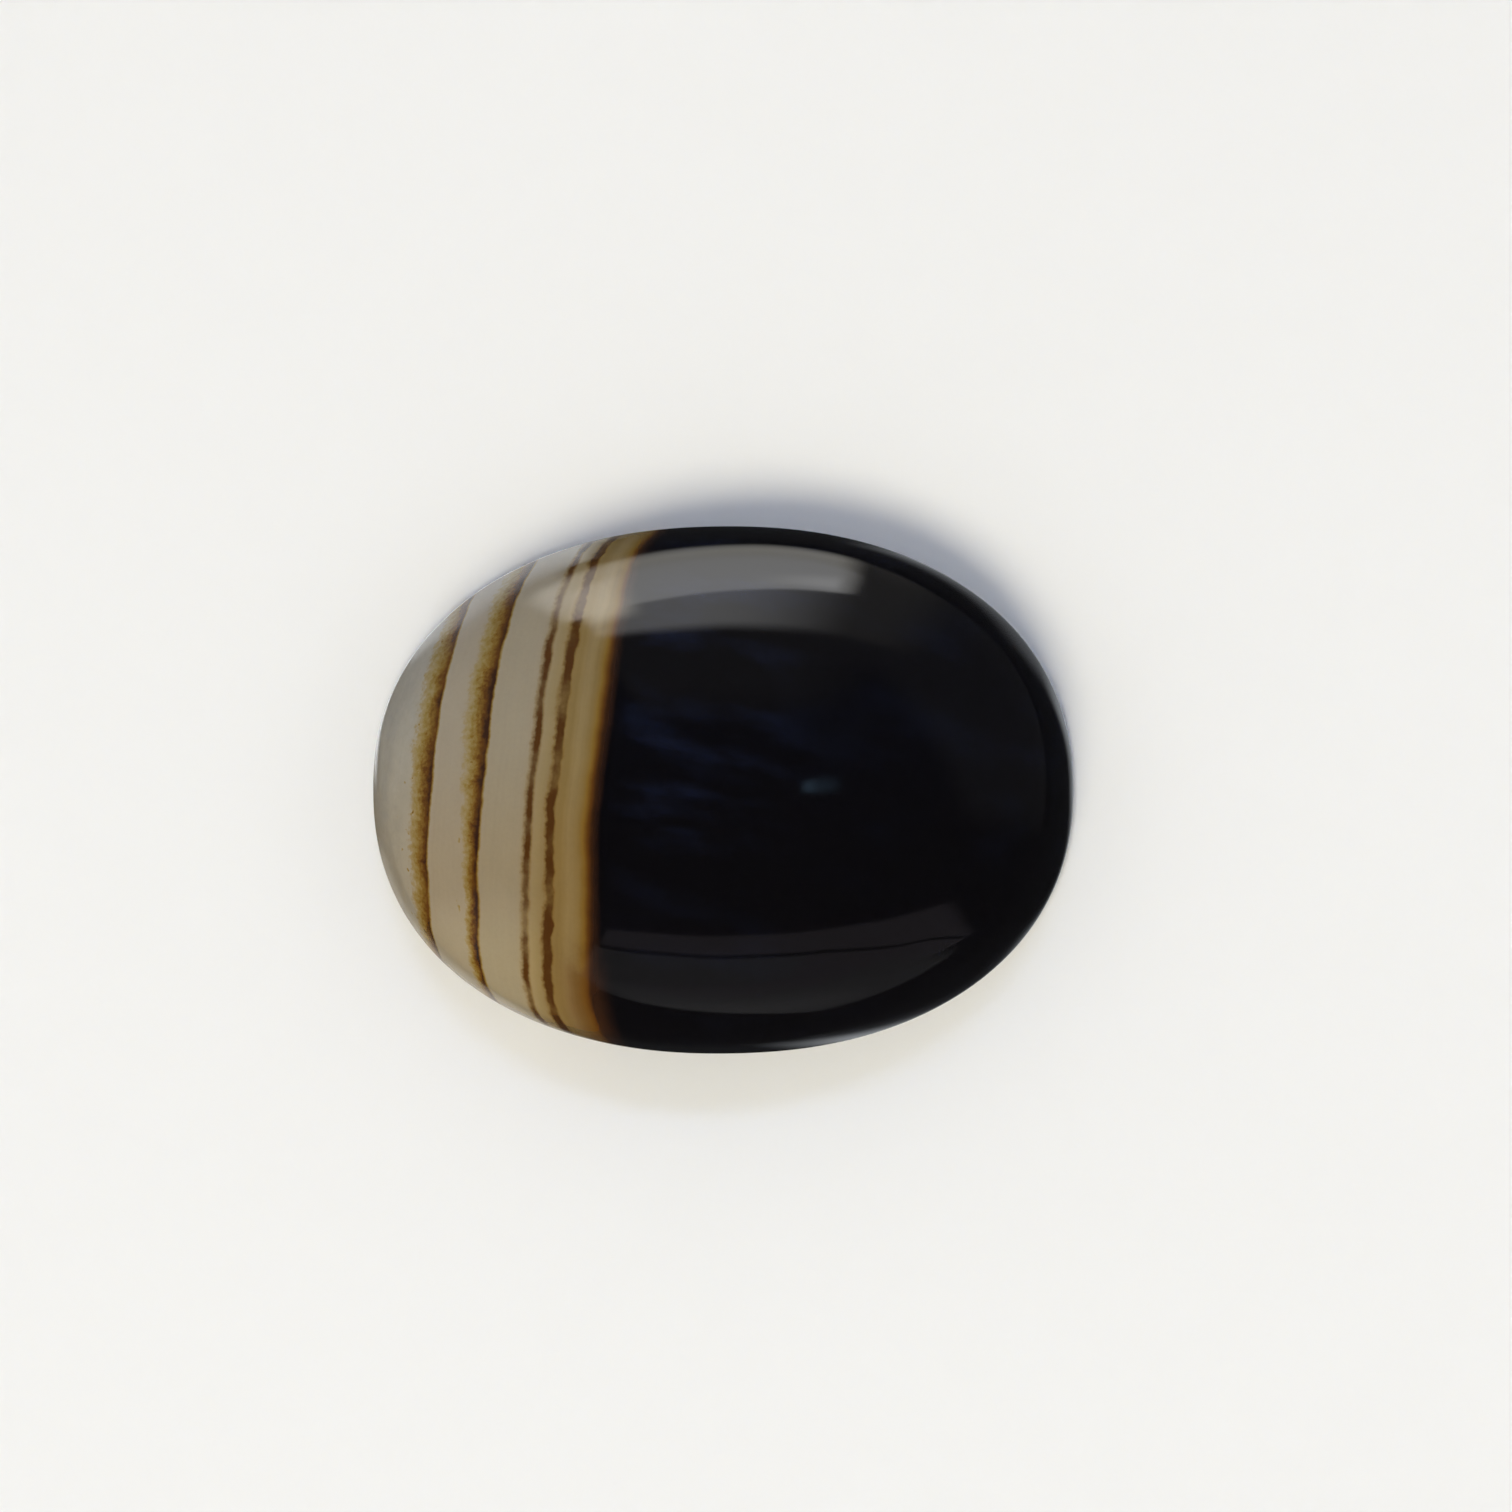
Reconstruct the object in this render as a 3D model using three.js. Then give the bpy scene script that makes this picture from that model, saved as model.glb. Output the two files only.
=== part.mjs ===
// An oval cabochon of black banded agate, as cut and polished for setting.
//
// It is one solid stone that rests on its flat base. Lengths are in millimetres and +Z is up.
// The origin is the middle of the base. The long axis lies along X, with the pale banded end
// towards -X and the black end towards +X.
//
// From the top down the skin is a low dome, a rounded shoulder, a slightly bowed wall that
// spreads outwards towards the foot, a narrow bevel and the flat base.

import * as THREE from "three";
import { ParametricGeometry } from "three/addons/geometries/ParametricGeometry.js";

// Driving dimensions
const LENGTH = 25.0;
const WIDTH = 18.8;
const HEIGHT = 6.5;
const BEVEL = 0.3;
const WALL_HEIGHT = 2.95;

// The foot is the widest outline. An exponent of 2 is a true ellipse, and a little more
// gives the fuller corners of a hand-cut oval.
const FOOT_FULLNESS = 2.2;

// The shoulder is where dome and wall would meet if the edge between them were sharp.
const SHOULDER_LENGTH = 22.8;
const SHOULDER_WIDTH = 17.4;
const SHOULDER_FULLNESS = 2.1;
const SHOULDER_TURN = THREE.MathUtils.degToRad(5);

// The dome is the cap of an ellipsoid, cut off at this share of the ellipsoid's half width.
const DOME_CUT = 0.8;

// How far the shoulder's rounding reaches each way from that edge, and how much less it is
// on the side where the shoulder is crispest
const ROUNDING = 1.25;
const CRISPNESS = 0.7;
const CRISP_SIDE = THREE.MathUtils.degToRad(70);

// How far the wall bulges at half its height
const WALL_BOW = 0.1;

// Rings of faces in each stretch of the skin, and faces in each ring
const RINGS = { dome: 13, shoulder: 7, wall: 3, bevel: 1, base: 2 };
const FACES_ROUND = 108;

const shoulderHeight = BEVEL + WALL_HEIGHT;
const domeRise = HEIGHT - shoulderHeight;
const capBase = Math.sqrt(1 - DOME_CUT ** 2);

// A point of an oval outline at an angle, by the superellipse formula.
function oval(angle, length, width, fullness) {
  const c = Math.cos(angle);
  const s = Math.sin(angle);
  return new THREE.Vector2(
    (length / 2) * Math.sign(c) * Math.abs(c) ** (2 / fullness),
    (width / 2) * Math.sign(s) * Math.abs(s) ** (2 / fullness),
  );
}

// The dome's height over the shoulder, where reach is 0 at the top and 1 at the shoulder.
function domeHeight(reach) {
  const cap = Math.sqrt(1 - (DOME_CUT * reach) ** 2);
  return (domeRise * (cap - capBase)) / (1 - capBase);
}

function domeSlope(reach) {
  const cap = Math.sqrt(1 - (DOME_CUT * reach) ** 2);
  return (-domeRise * DOME_CUT ** 2 * reach) / (cap * (1 - capBase));
}

// What the skin follows at one angle: the dome's reach, the shoulder's curve and the wall's.
function section(angle) {
  const foot = oval(angle, LENGTH, WIDTH, FOOT_FULLNESS);
  const corner = oval(angle, SHOULDER_LENGTH, SHOULDER_WIDTH, SHOULDER_FULLNESS);
  corner.rotateAround(new THREE.Vector2(), SHOULDER_TURN);

  const crispPart = (0.5 + 0.5 * Math.cos(angle - CRISP_SIDE)) ** 2;
  const rounding = ROUNDING - CRISPNESS * crispPart;
  const domeReach = 1 - rounding / corner.length();
  const sharpEdge = new THREE.Vector3(corner.x, corner.y, shoulderHeight);
  const wallFoot = new THREE.Vector3(foot.x, foot.y, BEVEL);
  const domeEnd = new THREE.Vector3(
    corner.x * domeReach,
    corner.y * domeReach,
    shoulderHeight + domeHeight(domeReach),
  );
  const outOfDome = new THREE.Vector3(corner.x, corner.y, domeSlope(domeReach)).normalize();

  // The whole wall runs from the sharp edge to the foot, and the shoulder takes its upper part.
  const outwards = new THREE.Vector3(corner.x, corner.y, 0).normalize();
  const bulge = sharpEdge.clone().add(wallFoot).multiplyScalar(0.5);
  bulge.addScaledVector(outwards, 2 * WALL_BOW);
  const wholeWall = new THREE.QuadraticBezierCurve3(sharpEdge, bulge, wallFoot);
  const wallStart = rounding / sharpEdge.distanceTo(wallFoot);
  const wallTop = wholeWall.getPoint(wallStart);
  const downTheWall = wholeWall.getTangent(wallStart);

  // A cubic with these handles keeps the dome's and the wall's own slopes at its two ends.
  const handle = 0.55;
  const shoulder = new THREE.CubicBezierCurve3(
    domeEnd,
    domeEnd.clone().addScaledVector(outOfDome, handle * domeEnd.distanceTo(sharpEdge)),
    wallTop.clone().addScaledVector(downTheWall, -handle * rounding),
    wallTop,
  );
  return { corner, foot, domeReach, shoulder, wholeWall, wallStart };
}

const ringCount = Object.values(RINGS).reduce((sum, rings) => sum + rings, 0);

// Sets a point of the skin. turn runs once round the stone, clockwise from above so that the
// faces look outwards, and level runs from the top of the dome, over the shoulder and under
// the base to its middle. Both go from 0 to 1.
function skinPoint(turn, level, point) {
  // The seam's two ends share one angle, so that the skin closes exactly.
  const angle = -2 * Math.PI * (turn === 1 ? 0 : turn);
  const { corner, foot, domeReach, shoulder, wholeWall, wallStart } = section(angle);
  const bevelShare = 1 - BEVEL / foot.length();
  let ring = level * ringCount;

  if (ring <= RINGS.dome) {
    const reach = (domeReach * ring) / RINGS.dome;
    point.set(corner.x * reach, corner.y * reach, shoulderHeight + domeHeight(reach));
    return;
  }
  ring -= RINGS.dome;
  if (ring <= RINGS.shoulder) {
    shoulder.getPoint(ring / RINGS.shoulder, point);
    return;
  }
  ring -= RINGS.shoulder;
  if (ring <= RINGS.wall) {
    wholeWall.getPoint(THREE.MathUtils.lerp(wallStart, 1, ring / RINGS.wall), point);
    return;
  }
  ring -= RINGS.wall;
  if (ring <= RINGS.bevel) {
    const share = THREE.MathUtils.lerp(1, bevelShare, ring / RINGS.bevel);
    point.set(foot.x * share, foot.y * share, BEVEL * (1 - ring / RINGS.bevel));
    return;
  }
  ring -= RINGS.bevel;
  const share = bevelShare * Math.max(0, 1 - ring / RINGS.base);
  point.set(foot.x * share, foot.y * share, 0);
}

const polishedAgate = new THREE.MeshStandardMaterial({
  color: 0x121116,
  roughness: 0.08,
  metalness: 0,
});

const cabochon = new THREE.Mesh(
  new ParametricGeometry(skinPoint, FACES_ROUND, ringCount),
  polishedAgate,
);
cabochon.name = "cabochon";

const agate = new THREE.Group();
agate.add(cabochon);

export default agate;
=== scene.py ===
import math

import bpy
import numpy as np
from bpy.props import FloatProperty, FloatVectorProperty, IntProperty, PointerProperty
from bpy.types import Operator, Panel, PropertyGroup
from mathutils import Matrix, Vector


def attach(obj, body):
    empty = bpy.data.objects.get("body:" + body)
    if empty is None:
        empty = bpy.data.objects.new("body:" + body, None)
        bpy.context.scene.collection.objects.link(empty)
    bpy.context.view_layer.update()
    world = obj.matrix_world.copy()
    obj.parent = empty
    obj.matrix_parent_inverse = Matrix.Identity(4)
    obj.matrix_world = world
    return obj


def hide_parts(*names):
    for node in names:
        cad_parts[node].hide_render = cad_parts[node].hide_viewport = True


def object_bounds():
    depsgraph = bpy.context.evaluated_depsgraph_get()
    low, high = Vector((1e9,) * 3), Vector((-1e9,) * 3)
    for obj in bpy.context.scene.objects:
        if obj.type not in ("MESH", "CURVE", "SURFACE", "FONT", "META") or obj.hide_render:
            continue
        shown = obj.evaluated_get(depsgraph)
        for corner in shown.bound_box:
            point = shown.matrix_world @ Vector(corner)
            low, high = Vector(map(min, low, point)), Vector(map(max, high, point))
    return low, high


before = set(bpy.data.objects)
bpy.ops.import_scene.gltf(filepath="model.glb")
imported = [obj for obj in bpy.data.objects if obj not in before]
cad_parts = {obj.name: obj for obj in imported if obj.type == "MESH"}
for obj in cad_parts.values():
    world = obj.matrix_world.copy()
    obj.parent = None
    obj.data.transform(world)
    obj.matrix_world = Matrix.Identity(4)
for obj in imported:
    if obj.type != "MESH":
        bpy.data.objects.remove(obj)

bl_info = {
    "name": "Banded Black Agate",
    "version": (1, 0, 0),
    "blender": (4, 5, 0),
    "location": "View3D > Sidebar > Agate",
    "description": "Builds an oval agate cabochon with its bands and polish, and a small studio round it",
    "category": "Object",
}

# The box of the stone, which every size below is measured from
CAD_LOW, CAD_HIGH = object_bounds()
STONE_LENGTH = CAD_HIGH.x - CAD_LOW.x
STONE_WIDTH = CAD_HIGH.y - CAD_LOW.y
STONE_HEIGHT = CAD_HIGH.z - CAD_LOW.z
MM = 0.001


def linear(display):
    """A display value, 0 to 255, as the linear value that the shaders work in."""
    part = display / 255
    return part / 12.92 if part <= 0.04045 else ((part + 0.055) / 1.055) ** 2.4


def plain_number(name, description, default):
    """A plain number with no unit."""
    return FloatProperty(name=name, description=description, default=default, precision=4)


def share(name, description, default):
    """A share from 0 to 1."""
    return FloatProperty(
        name=name, description=description, default=default,
        subtype="FACTOR", min=0, max=1, precision=4,
    )


def length(name, description, millimetres):
    """A length setting, given in millimetres and kept in metres."""
    return FloatProperty(
        name=name, description=description, default=millimetres * MM, unit="LENGTH", precision=5
    )


def angle(name, description, degrees):
    """An angle setting, given in degrees."""
    return FloatProperty(
        name=name, description=description, default=math.radians(degrees), subtype="ANGLE"
    )


def power(name, description, watts):
    """The power of a lamp."""
    return FloatProperty(name=name, description=description, default=watts, unit="POWER")


def colour(name, description, *display):
    """A colour setting, given as display values from 0 to 255."""
    return FloatVectorProperty(
        name=name, description=description, default=tuple(map(linear, display)),
        size=3, subtype="COLOR", min=0, max=1,
    )


def tint(name, description, *factors):
    """What the red, green and blue of a colour are multiplied by."""
    return FloatVectorProperty(name=name, description=description, default=factors, size=3)


def line_lengths(name, description, *millimetres):
    """A length for each of the four brown lines, given in millimetres and kept in metres."""
    return FloatVectorProperty(
        name=name, description=description, default=tuple(value * MM for value in millimetres),
        size=4, unit="LENGTH", precision=5,
    )


def line_shares(name, description, *shares):
    """A share from 0 to 1 for each of the four brown lines."""
    return FloatVectorProperty(
        name=name, description=description, default=shares, size=4, min=0, max=1
    )


class AgateShape(PropertyGroup):
    """How the stone is cut. Its length, width and height come from the frame."""

    foot_fullness: plain_number("Foot fullness", "2 is a true ellipse; more is squarer", 2.2)
    shoulder_length: length("Shoulder length", "Long way across the edge of the dome", 22.8)
    shoulder_width: length("Shoulder width", "Short way across the edge of the dome", 17.4)
    shoulder_fullness: plain_number("Shoulder fullness", "2 is a true ellipse; more is squarer", 2.1)
    shoulder_turn: angle("Shoulder turn", "How far the dome's edge is turned over the foot", 5)
    wall_height: length("Wall height", "From the bevel up to the edge of the dome", 2.95)
    wall_bow: length("Wall bow", "How far the wall bulges at half its height", 0.10)
    bevel: length("Bevel", "Height and depth of the bevel round the base", 0.3)
    dome_cut: share("Dome cut", "Share of an ellipsoid's half width that the dome takes", 0.8)
    rounding: length("Rounding", "How far the shoulder's rounding reaches each way", 1.25)
    crispness: length("Crispness", "How much less that is where the shoulder is crispest", 0.70)
    crisp_side: angle("Crisp side", "Where the shoulder is crispest, from +X towards +Y", 70)
    edge_softness: length("Edge softness", "Reach of the wear on the bevel's edges", 0.05)
    waviness: length("Waviness", "Depth of the unevenness left by hand polishing", 0.012)
    segments: IntProperty(
        name="Segments", description="Faces round the stone, a multiple of 8", default=384, min=64
    )


class AgateBands(PropertyGroup):
    """Where the bands lie. Distances run across them, from the middle of the stone."""

    lean_across: plain_number("Lean across", "Shift of the bands for each step along +Y", 0.0969)
    lean_down: plain_number("Lean down", "Shift of the bands for each step downwards", 0.1945)
    line_fronts: line_lengths(
        "Line fronts", "Where the stain before each brown line begins",
        -11.45, -9.13, -6.90, -6.10,
    )
    line_drifts: line_lengths(
        "Line drifts", "How much sooner that stain begins on the +Y side",
        0.22, 0.55, 0.04, 0.04,
    )
    line_fills: line_lengths(
        "Line fills", "How far before its end each brown line is at its fullest",
        0.02, 0.10, 0.18, 0.28,
    )
    line_edges: line_lengths(
        "Line edges", "Where each brown line stops",
        -10.59, -8.50, -6.52, -5.62,
    )
    line_depths: line_shares(
        "Line depths", "How dark each brown line is on the dome",
        0.98, 1.0, 0.86, 0.92,
    )
    line_wall_depths: line_shares(
        "Line depths on the wall", "How dark each brown line is on the wall",
        0.92, 0.95, 0.95, 0.98,
    )
    line_feathers: line_lengths(
        "Line feathers", "How far the stain's front reaches out and back in fibres",
        0.34, 0.26, 0.06, 0.14,
    )
    line_blurs: line_lengths(
        "Line blurs", "How softly each brown line stops",
        0.16, 0.19, 0.20, 0.18,
    )
    line_waves: line_lengths(
        "Line waves", "How far each line swings about its place",
        0.02, 0.03, 0.03, 0.09,
    )
    line_unevenness: line_shares(
        "Line unevenness", "How much the darkness of each line varies along it",
        0.34, 0.34, 0.52, 0.52,
    )
    black_edge: length("Black edge", "Where the stone turns black", -4.29)
    wobble: length("Wobble", "How far the bands stray from flat sheets", 0.11)
    wisp_lean: angle("Wisp lean", "How far the wisps lean from the stone's long axis", 14)


class AgateColours(PropertyGroup):
    """Colours of the stone, as they are under white light, except the painted glow near the -Y foot."""

    grey_end: colour("Grey end", "Pale stone at the very end", 148, 138, 120)
    second_pale: colour("Second pale band", "Between the first two lines", 145, 131, 109)
    third_pale: colour("Third pale band", "The widest and cleanest band", 142, 128, 104)
    fourth_pale: colour("Fourth pale band", "Between the two thin lines", 137, 118, 83)
    tan: colour("Tan band", "The yellowish band before the black", 123, 100, 58)
    light_tan: colour("Light tan", "The lighter middle of that band", 131, 109, 70)
    yellowed: colour("Yellowed", "Where a stain begins", 140, 121, 84)
    ochre: colour("Ochre", "Thin stain", 130, 107, 57)
    gold: colour("Gold", "Thicker stain", 116, 87, 35)
    brown: colour("Brown", "Full stain", 89, 55, 18)
    deep_brown: colour("Deep brown", "The darkest of the lines", 48, 28, 16)
    thin_line: colour("Thin lines", "The two lines beside the tan", 72, 42, 14)
    black: colour("Black", "The black part of the stone", 8, 7, 10)
    wisp: colour("Wisps", "Faint clouds inside the black", 24, 31, 54)
    # Painted light: lightens the pale bands near the -Y foot, a painted glow of light shining through the
    # thin edge
    painted_foot_glow: tint("Foot tint", "Makes the pale bands lighter near the -Y foot", 1.12, 1.14, 1.12)
    far_tint: tint("Far tint", "Makes the stone cooler on the +Y side", 1.05, 1.13, 1.30)


class AgateFinish(PropertyGroup):
    """Polish and depth of the stone."""

    polish: share("Polish", "Roughness of the dome and the wall", 0.045)
    bevel_finish: share("Bevel finish", "Roughness of the ground bevel", 0.22)
    base_finish: share("Base finish", "Roughness of the lapped base", 0.42)
    refraction: plain_number("Refraction", "Index of refraction of chalcedony", 1.54)
    glow: share("Glow", "Share of the light that travels inside the stone", 0.1)
    glow_reach: length("Glow reach", "How far that light travels", 0.3)


class AgateStudio(PropertyGroup):
    """Floor, lights and camera."""

    floor_colour: colour("Floor", "Plain pale floor", 240, 241, 244)
    floor_radius: length("Floor radius", "Radius of the flat part of the floor", 330)
    main_power: power("Main power", "Large soft light above the -Y side", 9.4)
    fill_power: power("Fill power", "Cooler light above the +Y side", 13.0)
    card_strength: plain_number("Card strength", "Brightness of the cards that the polish mirrors", 1.0)
    room_strength: plain_number("Room strength", "Brightness of the dark room", 0.018)
    camera_distance: length("Camera distance", "From the surface that the stone lies on", 450)
    camera_lean: angle("Camera lean", "Lean of the camera towards +X from straight above", 3.0)
    camera_turn: angle("Camera turn", "Turn of the camera about its own line of sight", 0.544)
    frame_width: length("Frame width", "Width of the square picture at that surface", 53.92)
    aim_right: length("Aim right", "From the stone's middle to the picture's, to the right", 1.168)
    aim_up: length("Aim up", "From the stone's middle to the picture's, upwards", 1.209)


def oval(turn, long_way, short_way, fullness):
    """Points of an oval outline at an array of angles, by the superellipse formula."""
    c, s = np.cos(turn), np.sin(turn)
    x = long_way / 2 * np.sign(c) * np.abs(c) ** (2 / fullness)
    y = short_way / 2 * np.sign(s) * np.abs(s) ** (2 / fullness)
    return x, y


def size_of(vectors):
    return np.linalg.norm(vectors, axis=-1, keepdims=True)


def unit(vectors):
    return vectors / size_of(vectors)


def evenly(start, finish, steps):
    """Steps from just after the start up to the finish."""
    return [start + (finish - start) * t for t in np.linspace(0, 1, steps + 1)[1:]]


def bezier(points, t):
    """Points of a Bezier curve of any degree, with one curve for each angle."""
    points = list(points)
    while len(points) > 1:
        points = [a + (b - a) * t for a, b in zip(points, points[1:])]
    return points[0]


# How far the shoulder's curve keeps the slopes of the dome and of the wall
SHOULDER_HANDLE = 0.55

# The middle of the top and of the base are square grids, up to these shares of the way out
CORE_PART = 0.45
BASE_PART = 0.5

# Rings of faces in each stretch of the skin between those grids; the bevel has two worn edges
RINGS = {"dome": 64, "shoulder": 26, "wall": 18, "edge": 4, "base": 4}


class Skin:
    """The stone's surface at an array of angles, by the same formulas as its solid."""

    def __init__(self, shape, turn):
        self.shape = shape
        self.top = shape.bevel + shape.wall_height
        self.rise = STONE_HEIGHT - self.top
        self.cap_base = math.sqrt(1 - shape.dome_cut ** 2)

        foot_x, foot_y = oval(turn, STONE_LENGTH, STONE_WIDTH, shape.foot_fullness)
        x, y = oval(turn, shape.shoulder_length, shape.shoulder_width, shape.shoulder_fullness)
        c, s = math.cos(shape.shoulder_turn), math.sin(shape.shoulder_turn)
        self.corner = np.stack([x * c - y * s, x * s + y * c], -1)
        self.foot = self.at(np.stack([foot_x, foot_y], -1), shape.bevel)

        crisp_part = (0.5 + 0.5 * np.cos(turn - shape.crisp_side)) ** 2
        rounding = shape.rounding - shape.crispness * crisp_part
        self.rounding = rounding[:, None]
        self.reach = 1 - self.rounding / size_of(self.corner)

    @staticmethod
    def at(plan, height):
        """Points over a plan outline at one height or at a column of heights."""
        column = np.broadcast_to(height, (len(plan), 1))
        return np.concatenate([plan, column], -1)

    def dome_height(self, reach):
        cap = np.sqrt(1 - (self.shape.dome_cut * reach) ** 2)
        return self.top + self.rise * (cap - self.cap_base) / (1 - self.cap_base)

    def dome_slope(self, reach):
        cut = self.shape.dome_cut
        cap = np.sqrt(1 - (cut * reach) ** 2)
        return -self.rise * cut ** 2 * reach / (cap * (1 - self.cap_base))

    def dome(self, part):
        """A ring of the dome, where part is 0 at its top and 1 where the shoulder begins."""
        reach = self.reach * part
        return self.at(self.corner * reach, self.dome_height(reach))

    def sides(self):
        """Rings over the shoulder and down the wall, then round the bevel's two edges."""
        shape = self.shape
        sharp_edge = self.at(self.corner, self.top)
        outwards = unit(self.at(self.corner, 0.0))
        bulge = (sharp_edge + self.foot) / 2 + outwards * 2 * shape.wall_bow
        wall = (sharp_edge, bulge, self.foot)

        wall_start = self.rounding / size_of(self.foot - sharp_edge)
        wall_top = bezier(wall, wall_start)
        wall_down = (bulge - sharp_edge) * (1 - wall_start) + (self.foot - bulge) * wall_start
        dome_end = self.dome(1.0)
        dome_out = unit(self.at(self.corner, self.dome_slope(self.reach)))
        shoulder = (
            dome_end,
            dome_end + dome_out * SHOULDER_HANDLE * size_of(dome_end - sharp_edge),
            wall_top - unit(wall_down) * SHOULDER_HANDLE * self.rounding,
            wall_top,
        )

        inwards = 1 - shape.bevel / size_of(self.foot[:, :2])
        base_edge = self.at(self.foot[:, :2] * inwards, 0.0)
        wall_end = 1 - shape.edge_softness / (2 * size_of(self.foot - bulge))

        rings = [bezier(shoulder, t) for t in evenly(0, 1, RINGS["shoulder"])]
        rings += [bezier(wall, t) for t in evenly(wall_start, wall_end, RINGS["wall"])[:-1]]
        rings += self.worn_edge(bulge, self.foot, base_edge)
        rings += self.worn_edge(self.foot, base_edge, base_edge * BASE_PART)
        return rings

    def worn_edge(self, before, corner, after):
        """Rings that round off an edge between two faces."""
        reach = self.shape.edge_softness
        start = corner + unit(before - corner) * reach
        finish = corner + unit(after - corner) * reach
        return [bezier((start, corner, finish), t) for t in np.linspace(0, 1, RINGS["edge"] + 1)]


# Each wave's weight, its radians for each millimetre along X and along Y, and its phase
POLISHING_WAVES = (
    (1.0, 0.62, 0.31, 0.4),
    (0.8, -0.35, 0.88, 2.1),
    (0.5, 1.15, -0.72, 4.0),
    (0.35, 1.9, 1.3, 1.2),
)

# They begin at this share of the wall's height and are at their deepest a millimetre above it
POLISHED_FROM = 0.6


def hand_polish(points, shape):
    """Lowers the dome a little, unevenly, and never raises it."""
    x, y = points[:, 0] / MM, points[:, 1] / MM
    waves = sum(
        weight * np.sin(along_x * x + along_y * y + phase)
        for weight, along_x, along_y, phase in POLISHING_WAVES
    ) / sum(weight for weight, *_ in POLISHING_WAVES)
    above = points[:, 2] - shape.bevel - POLISHED_FROM * shape.wall_height
    lowered = points.copy()
    lowered[:, 2] -= shape.waviness * (1 + waves) / 2 * np.clip(above / MM, 0, 1)
    return lowered


def grid_in_rings(half):
    """A square grid seen as rings: each point's ring, and its step round that ring."""
    offsets = np.arange(-half, half + 1)
    column, row = np.meshgrid(offsets, offsets)
    ring = np.maximum(np.abs(column), np.abs(row))
    step = np.where(
        column >= np.abs(row), row,
        np.where(row >= np.abs(column), 2 * ring - column,
                 np.where(column <= -np.abs(row), 4 * ring - row, 6 * ring + column)),
    )
    return ring, step


def stone_mesh(shape):
    """The closed mesh: a square grid over the top, rings down the sides, a grid under the base."""
    half = shape.segments // 8
    segments = 8 * half

    ring, step = grid_in_rings(half)
    grid_turn = step / np.maximum(ring, 1) * math.pi / 4
    grid_skin = Skin(shape, grid_turn.ravel())
    grid_part = (ring / half).reshape(-1, 1)
    top_grid = grid_skin.dome(CORE_PART * grid_part)
    base_grid = grid_skin.sides()[-1] * BASE_PART * grid_part

    skin = Skin(shape, np.arange(segments) * 2 * math.pi / segments)
    rings = [skin.dome(part) for part in evenly(CORE_PART, 1, RINGS["dome"])]
    rings += skin.sides()
    rings += [rings[-1] * part for part in evenly(1, BASE_PART, RINGS["base"])[:-1]]

    side = 2 * half + 1
    index = np.arange(side * side).reshape(side, side)
    squares = np.stack([index[:-1, :-1], index[:-1, 1:], index[1:, 1:], index[1:, :-1]], -1)
    squares = squares.reshape(-1, 4)
    border = np.zeros(segments, int)
    on_border = ring == half
    border[step[on_border] % segments] = index[on_border]

    # Points are counted through the top's grid, then ring by ring, then through the base's grid.
    first_of_base = side * side + segments * len(rings)
    loops = [border]
    loops += [first + np.arange(segments) for first in range(side * side, first_of_base, segments)]
    loops.append(first_of_base + border)
    strips = [
        np.stack([upper, lower, np.roll(lower, -1), np.roll(upper, -1)], -1)
        for upper, lower in zip(loops, loops[1:])
    ]
    points = np.concatenate([top_grid, *rings, base_grid])
    faces = np.concatenate([squares, *strips, first_of_base + squares[:, ::-1]])

    mesh = bpy.data.meshes.new("agate_stone")
    mesh.from_pydata(hand_polish(points, shape), [], faces.tolist())
    mesh.validate()
    mesh.shade_smooth()
    return mesh


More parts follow.
